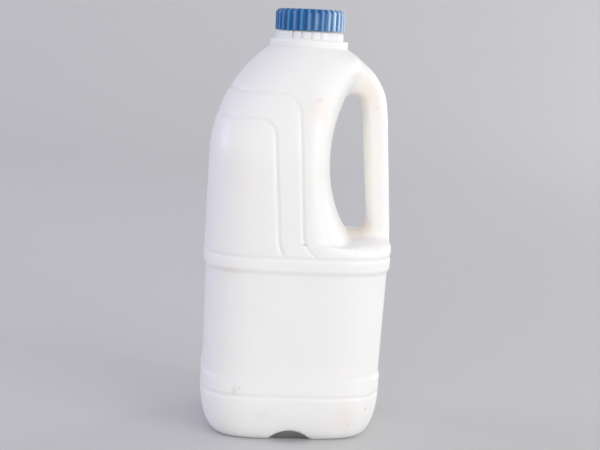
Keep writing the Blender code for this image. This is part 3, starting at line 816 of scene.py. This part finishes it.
def screw_cap(plastic):
    """Ribbed cap: a turned blank, ribs pressed into its wall, and a plain bore."""
    bevel_z = CAP_TOP - 0.8 * CAP_BEVEL
    profile = [
        (CAP_RADIUS - CAP_RIM_CHAMFER, CAP_BOTTOM),
        (CAP_RADIUS, CAP_BOTTOM + CAP_RIM_CHAMFER),
        (CAP_RADIUS, bevel_z),
    ]
    for degrees in range(10, 91, 10):
        across, up = fan_direction(degrees)
        profile.append((CAP_RADIUS - CAP_BEVEL * (1.0 - across), mix(bevel_z, CAP_TOP, up)))
    profile += [
        (CAP_DISH_RADIUS + 2.0 * CAP_DISH_DEPTH, CAP_TOP),
        (CAP_DISH_RADIUS + CAP_DISH_DEPTH, CAP_TOP - 0.2 * CAP_DISH_DEPTH),
        (CAP_DISH_RADIUS, CAP_TOP - CAP_DISH_DEPTH),
        (0.6 * CAP_DISH_RADIUS, CAP_TOP - CAP_DISH_DEPTH),
    ]
    piece = turned("milk_jug_cap", profile, CAP_RIBS * CAP_POINTS_PER_RIB)
    points = mesh_points(piece)
    x, y, z = points.T
    radius = np.hypot(x, y)
    phase = np.arctan2(y, x) * CAP_RIBS
    valley = (0.5 - 0.5 * np.cos(phase)) ** CAP_RIB_SHARPNESS
    fading = smoothstep(CAP_RADIUS - 1.1 * CAP_BEVEL, CAP_RADIUS - 0.7 * CAP_BEVEL, radius)
    shrink = 1.0 - CAP_RIB_DEPTH * valley * fading / radius
    set_mesh_points(piece, points * np.c_[shrink, shrink, np.ones(len(points))])
    bore_profile = [(CAP_BORE_RADIUS, CAP_BOTTOM - CAP_BEVEL), (CAP_BORE_RADIUS, CAP_BORE_TOP)]
    bore = turned("bore", bore_profile, BORE_POINTS)
    cut_or_join(piece, bore, "DIFFERENCE")
    middle = Matrix.Translation((0.0, 0.0, CAP_BOTTOM))
    tilt = Matrix.Rotation(math.radians(-CAP_TILT_DEGREES), 4, "Y")
    piece.data.transform(middle @ tilt @ middle.inverted())
    piece.data.materials.clear()
    piece.data.materials.append(plastic)
    only(piece)
    bpy.ops.object.shade_smooth_by_angle(angle=math.radians(SMOOTH_SHADING_DEGREES))
    return piece


# Materials

def new_material(name):
    """A material with its node tree and its Principled shader."""
    made = bpy.data.materials.new(name)
    made.use_nodes = True
    return made, made.node_tree, made.node_tree.nodes["Principled BSDF"]


def node(tree, kind, links=None, values=None, **settings):
    """Add a shader node, with sockets to link from, values for its inputs and its own settings."""
    made = tree.nodes.new("ShaderNode" + kind)
    for name, value in settings.items():
        setattr(made, name, value)
    for name, value in (values or {}).items():
        made.inputs[name].default_value = value
    for name, source in (links or {}).items():
        tree.links.new(source, made.inputs[name])
    return made


def math_node(tree, operation, first, second):
    """Result of a Math node on a socket and a socket or number."""
    made = node(tree, "Math", {0: first}, operation=operation)
    if isinstance(second, float):
        made.inputs[1].default_value = second
    else:
        tree.links.new(second, made.inputs[1])
    return made.outputs[0]


# Sockets of a Mix node for colours. They share their names with those for numbers and vectors.
MIX_AMOUNT = 0
MIX_FIRST = 6
MIX_SECOND = 7
MIX_RESULT = 2


def tinted(tree, factor, colour, tint, strength):
    """Mix a colour socket or value towards a tint, as far as the factor and the strength say."""
    amount = math_node(tree, "MULTIPLY", factor, strength)
    made = node(tree, "Mix", {MIX_AMOUNT: amount}, {MIX_SECOND: (*tint, 1.0)}, data_type="RGBA")
    if isinstance(colour, tuple):
        made.inputs[MIX_FIRST].default_value = (*colour, 1.0)
    else:
        tree.links.new(colour, made.inputs[MIX_FIRST])
    return made.outputs[MIX_RESULT]


def new_group(name, inputs, outputs):
    """A shader node group: inputs as (name, kind, value), outputs as names of values."""
    group = bpy.data.node_groups.new(name, "ShaderNodeTree")
    for socket, kind, value in inputs:
        made = group.interface.new_socket(name=socket, in_out="INPUT", socket_type=kind)
        made.default_value = value
    for socket in outputs:
        group.interface.new_socket(name=socket, in_out="OUTPUT", socket_type="NodeSocketFloat")
    return group, group.nodes.new("NodeGroupInput"), group.nodes.new("NodeGroupOutput")


def moulded_skin():
    """Surface of moulded plastic: fine pebbling, slow waves, flow streaks and a cloudy mottle."""
    scales = {"Pebbles": 900.0, "Waves": 25.0, "Streaks": 60.0, "Clouds": 18.0}
    inputs = [(name, "NodeSocketFloat", scale) for name, scale in scales.items()]
    group, given, result = new_group("moulded_skin", inputs, ["Height", "Streaks", "Clouds"])
    place = node(group, "TexCoord").outputs["Object"]
    long = node(group, "Mapping", {"Vector": place}, {"Scale": (1.0, 1.0, 0.05)}).outputs["Vector"]

    def noise(vector, scale, detail):
        links = {"Vector": vector, "Scale": given.outputs[scale]}
        return node(group, "TexNoise", links, {"Detail": detail}).outputs["Fac"]

    pebbles = noise(place, "Pebbles", 1.0)
    waves = noise(place, "Waves", 2.0)
    height = math_node(group, "ADD", math_node(group, "MULTIPLY", pebbles, 0.08), waves)
    group.links.new(height, result.inputs["Height"])
    group.links.new(noise(long, "Streaks", 3.0), result.inputs["Streaks"])
    group.links.new(noise(place, "Clouds", 5.0), result.inputs["Clouds"])
    return group


def handling_wear():
    """Marks of handling: thin scuffs in patches, and a few stray specks of dirt."""
    scales = {"Scuffs": 40.0, "Patches": 14.0, "Specks": 45.0}
    inputs = [(name, "NodeSocketFloat", scale) for name, scale in scales.items()]
    group, given, result = new_group("handling_wear", inputs, ["Scuffs", "Specks"])
    place = node(group, "TexCoord").outputs["Object"]
    slant = {"Rotation": (0.5, 0.9, 0.3), "Scale": (1.0, 9.0, 1.6)}
    slanted = node(group, "Mapping", {"Vector": place}, slant).outputs["Vector"]
    links = {"Vector": slanted, "Scale": given.outputs["Scuffs"]}
    thin = node(group, "TexNoise", links, {"Detail": 6.0, "Roughness": 0.65}).outputs["Fac"]
    patches = node(group, "TexNoise", {"Vector": place, "Scale": given.outputs["Patches"]}, {"Detail": 2.0})
    sharp = node(group, "MapRange", {"Value": thin}, {"From Min": 0.60, "From Max": 0.70}).outputs["Result"]
    where = node(group, "MapRange", {"Value": patches.outputs["Fac"]}, {"From Min": 0.50, "From Max": 0.68})
    group.links.new(math_node(group, "MULTIPLY", sharp, where.outputs["Result"]), result.inputs["Scuffs"])
    cells = node(group, "TexVoronoi", {"Vector": place, "Scale": given.outputs["Specks"]})
    values = {"From Min": 0.05, "From Max": 0.02}
    near = node(group, "MapRange", {"Value": cells.outputs["Distance"]}, values).outputs["Result"]
    chosen = node(group, "SeparateColor", {"Color": cells.outputs["Color"]}).outputs["Red"]
    chosen = math_node(group, "GREATER_THAN", chosen, 0.8)
    group.links.new(math_node(group, "MULTIPLY", near, chosen), result.inputs["Specks"])
    return group


def soft_spot():
    """Mask of a soft-edged patch: 1 at a centre, 0 beyond its reach along each axis."""
    vectors = {"Place": (0.0, 0.0, 0.0), "Centre": (0.0, 0.0, 0.0), "Reach": (1.0, 1.0, 1.0)}
    inputs = [(name, "NodeSocketVector", vector) for name, vector in vectors.items()]
    group, given, result = new_group("soft_spot", inputs, ["Mask"])
    links = {0: given.outputs["Place"], 1: given.outputs["Centre"]}
    offset = node(group, "VectorMath", links, operation="SUBTRACT")
    scaled = node(group, "VectorMath", {0: offset.outputs[0], 1: given.outputs["Reach"]}, operation="DIVIDE")
    distance = node(group, "VectorMath", {0: scaled.outputs[0]}, operation="LENGTH").outputs["Value"]
    values = {"From Min": 1.0, "From Max": 0.1}
    mask = node(group, "MapRange", {"Value": distance}, values, interpolation_type="SMOOTHSTEP")
    group.links.new(mask.outputs["Result"], result.inputs["Mask"])
    return group


def placed(tree, group, **values):
    """Place a node group in a material, with values for its inputs."""
    made = node(tree, "Group", node_tree=group)
    for name, value in values.items():
        made.inputs[name].default_value = value
    return made.outputs


def wandering_place(tree, scale, amount):
    """Object coordinates shifted by noise, so that the edges of patches wander."""
    place = node(tree, "TexCoord").outputs["Object"]
    noise = node(tree, "TexNoise", {"Vector": place}, {"Scale": scale, "Detail": 4.0}).outputs["Color"]
    centred = node(tree, "VectorMath", {0: noise}, {1: (0.5, 0.5, 0.5)}, operation="SUBTRACT").outputs[0]
    shift = node(tree, "VectorMath", {0: centred}, {"Scale": amount}, operation="SCALE").outputs[0]
    return node(tree, "VectorMath", {0: place, 1: shift}, operation="ADD").outputs[0]


def white_polythene(skin, wear, spot):
    """Waxy white polythene: milky depth, painted light and painted warm shade round the handle and on the
    shelf, pink tints, stains and stray specks.
    """
    made, tree, shader = new_material("white_polythene")
    marks = placed(tree, skin, Pebbles=900.0, Waves=28.0, Streaks=70.0, Clouds=16.0)
    worn = placed(tree, wear, Scuffs=30.0, Patches=12.0, Specks=42.0)
    colour = tinted(tree, marks["Clouds"], WHITE, WHITE_CLOUD, 0.8)
    colour = tinted(tree, marks["Streaks"], colour, WHITE_STREAK, 0.35)
    wandering = wandering_place(tree, 120.0, 8.0 * MM)
    # Painted light and painted shade round the handle and on the shelf, pink tints, then stains.
    for centre, reach, tint, strength in PAINTED_LIGHT_SHADE_AND_TINTS + STAINS:
        mask = placed(tree, spot, Centre=centre, Reach=reach)["Mask"]
        tree.links.new(wandering, mask.node.inputs["Place"])
        colour = tinted(tree, mask, colour, tint, strength)
    colour = tinted(tree, worn["Scuffs"], colour, SCUFF_TINT, 0.25)
    colour = tinted(tree, worn["Specks"], colour, SPECK_TINT, 0.5)
    tree.links.new(colour, shader.inputs["Base Color"])
    roughness = math_node(tree, "ADD", math_node(tree, "MULTIPLY", marks["Clouds"], 0.16), 0.32)
    roughness = math_node(tree, "ADD", math_node(tree, "MULTIPLY", worn["Scuffs"], 0.2), roughness)
    tree.links.new(roughness, shader.inputs["Roughness"])
    bump = node(tree, "Bump", {"Height": marks["Height"]}, {"Strength": 0.35, "Distance": 0.5 * MM})
    tree.links.new(bump.outputs["Normal"], shader.inputs["Normal"])
    shader.inputs["Subsurface Weight"].default_value = 0.7
    shader.inputs["Subsurface Radius"].default_value = (1.0, 0.85, 0.7)
    shader.inputs["Subsurface Scale"].default_value = 8.0 * MM
    return made


def rib_masks(tree):
    """Masks on the cap: crests of the ribs, valleys, the ribbed wall, and the handle side, which is painted
    paler as if lit.
    """
    place = node(tree, "TexCoord").outputs["Object"]
    axes = node(tree, "SeparateXYZ", {"Vector": place}).outputs
    around = math_node(tree, "MULTIPLY", math_node(tree, "ARCTAN2", axes["Y"], axes["X"]), float(CAP_RIBS))
    wave = math_node(tree, "COSINE", around, 0.0)
    crest = math_node(tree, "ADD", math_node(tree, "MULTIPLY", wave, 0.5), 0.5)
    valley = math_node(tree, "MULTIPLY", math_node(tree, "SUBTRACT", crest, 1.0), -1.0)
    flat = node(tree, "CombineXYZ", {"X": axes["X"], "Y": axes["Y"]}).outputs["Vector"]
    radius = node(tree, "VectorMath", {0: flat}, operation="LENGTH").outputs["Value"]
    values = {"From Min": CAP_RADIUS - CAP_BEVEL, "From Max": CAP_RADIUS - 0.6 * CAP_BEVEL}
    wall = node(tree, "MapRange", {"Value": radius}, values).outputs["Result"]
    values = {"From Min": 0.2 * CAP_RADIUS, "From Max": 0.8 * CAP_RADIUS}
    side = node(tree, "MapRange", {"Value": axes["X"]}, values, interpolation_type="SMOOTHSTEP")
    return crest, valley, wall, side.outputs["Result"]


def blue_polypropylene(skin, wear):
    """Glossy blue polypropylene: painted shade between the ribs, painted highlights on the crests, and
    painted light on the handle side.
    """
    made, tree, shader = new_material("blue_polypropylene")
    marks = placed(tree, skin, Pebbles=1400.0, Waves=60.0, Streaks=160.0, Clouds=70.0)
    worn = placed(tree, wear, Scuffs=80.0, Patches=50.0)
    crest, valley, wall, side = rib_masks(tree)

    def on_wall(mask, power):
        return math_node(tree, "MULTIPLY", math_node(tree, "POWER", mask, power), wall)

    colour = tinted(tree, marks["Clouds"], BLUE, BLUE_CLOUD, 0.7)
    colour = tinted(tree, marks["Streaks"], colour, BLUE_STREAK_AND_VALLEY_SHADE, 0.3)
    # painted light: the handle side of the cap paler, as the light falls on it
    colour = tinted(tree, side, colour, PAINTED_LIT_SIDE_BLUE, 0.6)
    # painted shade in the valleys between the ribs
    colour = tinted(tree, on_wall(valley, 2.0), colour, BLUE_STREAK_AND_VALLEY_SHADE, 0.8)
    # painted highlight along the crests of the ribs
    colour = tinted(tree, on_wall(crest, 6.0), colour, PAINTED_CREST_HIGHLIGHT_BLUE, 0.55)
    # painted highlights on the crests on the handle side
    side_highlight = math_node(tree, "MULTIPLY", on_wall(crest, 2.0), side)
    colour = tinted(tree, side_highlight, colour, PAINTED_SIDE_HIGHLIGHT_BLUE, 0.8)
    colour = tinted(tree, worn["Scuffs"], colour, BLUE_SCUFF, 0.3)
    tree.links.new(colour, shader.inputs["Base Color"])
    roughness = math_node(tree, "ADD", math_node(tree, "MULTIPLY", marks["Clouds"], 0.12), 0.10)
    roughness = math_node(tree, "ADD", math_node(tree, "MULTIPLY", worn["Scuffs"], 0.25), roughness)
    tree.links.new(roughness, shader.inputs["Roughness"])
    bump = node(tree, "Bump", {"Height": marks["Height"]}, {"Strength": 0.3, "Distance": 0.4 * MM})
    tree.links.new(bump.outputs["Normal"], shader.inputs["Normal"])
    shader.inputs["Specular IOR Level"].default_value = 0.4
    shader.inputs["Subsurface Weight"].default_value = 0.5
    shader.inputs["Subsurface Radius"].default_value = (0.3, 0.7, 1.0)
    shader.inputs["Subsurface Scale"].default_value = 3.0 * MM
    return made


def pale_floor(skin):
    """Matt studio floor with a barely seen cloudiness."""
    made, tree, shader = new_material("pale_floor")
    marks = placed(tree, skin, Clouds=1.5)
    colour = tinted(tree, marks["Clouds"], FLOOR_PALE, FLOOR_SHADE, 1.0)
    tree.links.new(colour, shader.inputs["Base Color"])
    shader.inputs["Roughness"].default_value = 0.7
    return made


# Floor, light and camera

def floor(surface):
    """Pale sweep: a plane whose far edge is extruded upwards and rounded off."""
    deselect()
    bpy.ops.mesh.primitive_plane_add(size=FLOOR_SIZE, location=(0.0, FLOOR_DEPTH - FLOOR_SIZE / 2, 0.0))
    piece = name_new("floor")
    bpy.ops.object.mode_set(mode="EDIT")
    bpy.ops.mesh.select_mode(type="EDGE")
    select_edges(piece, lambda middle: middle.y > FLOOR_SIZE / 2 - MM)
    bpy.ops.mesh.extrude_region_move(TRANSFORM_OT_translate={"value": (0.0, 0.0, FLOOR_SIZE)})
    select_edges(piece, lambda middle: middle.y > FLOOR_SIZE / 2 - MM and middle.z < MM)
    bpy.ops.mesh.bevel(offset=FLOOR_BEND, segments=24, affect="EDGES")
    bpy.ops.object.mode_set(mode="OBJECT")
    settle(piece)
    bpy.ops.object.shade_smooth()
    piece.data.materials.append(surface)


def softbox(name, place, size, power, colour):
    """A large area light that faces the jug."""
    light = bpy.data.lights.new(name, "AREA")
    light.shape = "RECTANGLE"
    light.size, light.size_y = size
    light.energy = power
    light.color = colour
    lamp = bpy.data.objects.new(name, light)
    bpy.context.scene.collection.objects.link(lamp)
    lamp.location = place
    lamp.rotation_euler = (Vector(SOFTBOX_AIM) - Vector(place)).to_track_quat("-Z", "Y").to_euler()


def studio():
    """All softboxes and an even, faintly cool world light."""
    for box in SOFTBOXES:
        softbox(*box)
    world = bpy.data.worlds.new("studio")
    world.use_nodes = True
    background = world.node_tree.nodes["Background"]
    background.inputs["Color"].default_value = (*WORLD_COLOUR, 1.0)
    background.inputs["Strength"].default_value = WORLD_STRENGTH
    bpy.context.scene.world = world


def camera():
    """Camera at the photograph's viewing angle: a little left of the front, tilted in its plane."""
    azimuth = math.radians(CAMERA_AZIMUTH)
    along_x = CAMERA_DISTANCE * math.sin(azimuth)
    along_y = -CAMERA_DISTANCE * math.cos(azimuth)
    place = Vector((along_x, along_y, CAMERA_HEIGHT))
    target = Vector((CAMERA_TARGET[0], 0.0, CAMERA_TARGET[1]))
    forward = target - place
    lens = bpy.data.cameras.new("camera")
    lens.lens = lens.sensor_width * forward.length / WIDTH_SEEN
    lens.clip_end = 20.0
    made = bpy.data.objects.new("camera", lens)
    bpy.context.scene.collection.objects.link(made)
    aim = forward.to_track_quat("-Z", "Y").to_matrix().to_4x4()
    roll = Matrix.Rotation(math.radians(CAMERA_ROLL), 4, "Z")
    made.matrix_world = Matrix.Translation(place) @ aim @ roll
    bpy.context.scene.camera = made


def main():
    """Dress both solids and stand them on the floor."""
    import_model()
    bpy.context.scene.view_settings.view_transform = "Standard"
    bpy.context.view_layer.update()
    camera()
    studio()
    skin = moulded_skin()
    wear = handling_wear()
    floor(pale_floor(skin))
    body = jug_body(white_polythene(skin, wear, soft_spot()))
    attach(body, "root")
    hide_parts("jug_body")
    cap = screw_cap(blue_polypropylene(skin, wear))
    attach(cap, "root")
    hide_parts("cap")


main()
